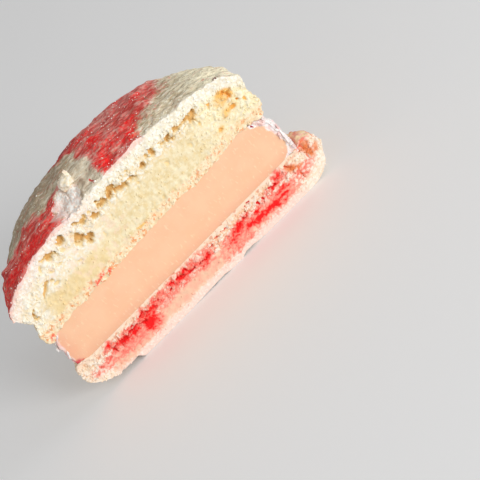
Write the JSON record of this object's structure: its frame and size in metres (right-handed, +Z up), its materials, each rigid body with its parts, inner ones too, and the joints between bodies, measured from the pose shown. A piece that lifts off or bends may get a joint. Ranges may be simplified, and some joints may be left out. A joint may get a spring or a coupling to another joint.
{
  "type": "french macaron half",
  "caption": "Half of a french macaron cut down through its middle: a tall domed shell with porous crumb, a thick smooth filling rolled in coconut, and a flat shell beneath.",
  "frame": {"origin": "on the flat underside, at the middle of the bounding box", "axes": "+X along the cut, from its left end to its right end as the cut face is looked at; +Y from the cut face into the food; +Z up, from the flat shell to the domed one"},
  "size_m": [0.049, 0.0246, 0.027],
  "materials": {
    "top_shell": "dry baked meringue: cream and red swirled crust over pale yellow crumb",
    "filling": "smooth satin peach cream, its side coated with white coconut shreds",
    "bottom_shell": "dry baked meringue: cream crust over crumb marbled with red"
  },
  "bodies": {
    "root": {"top_shell": "top_shell", "filling": "filling", "bottom_shell": "bottom_shell"}
  },
  "joints": []
}
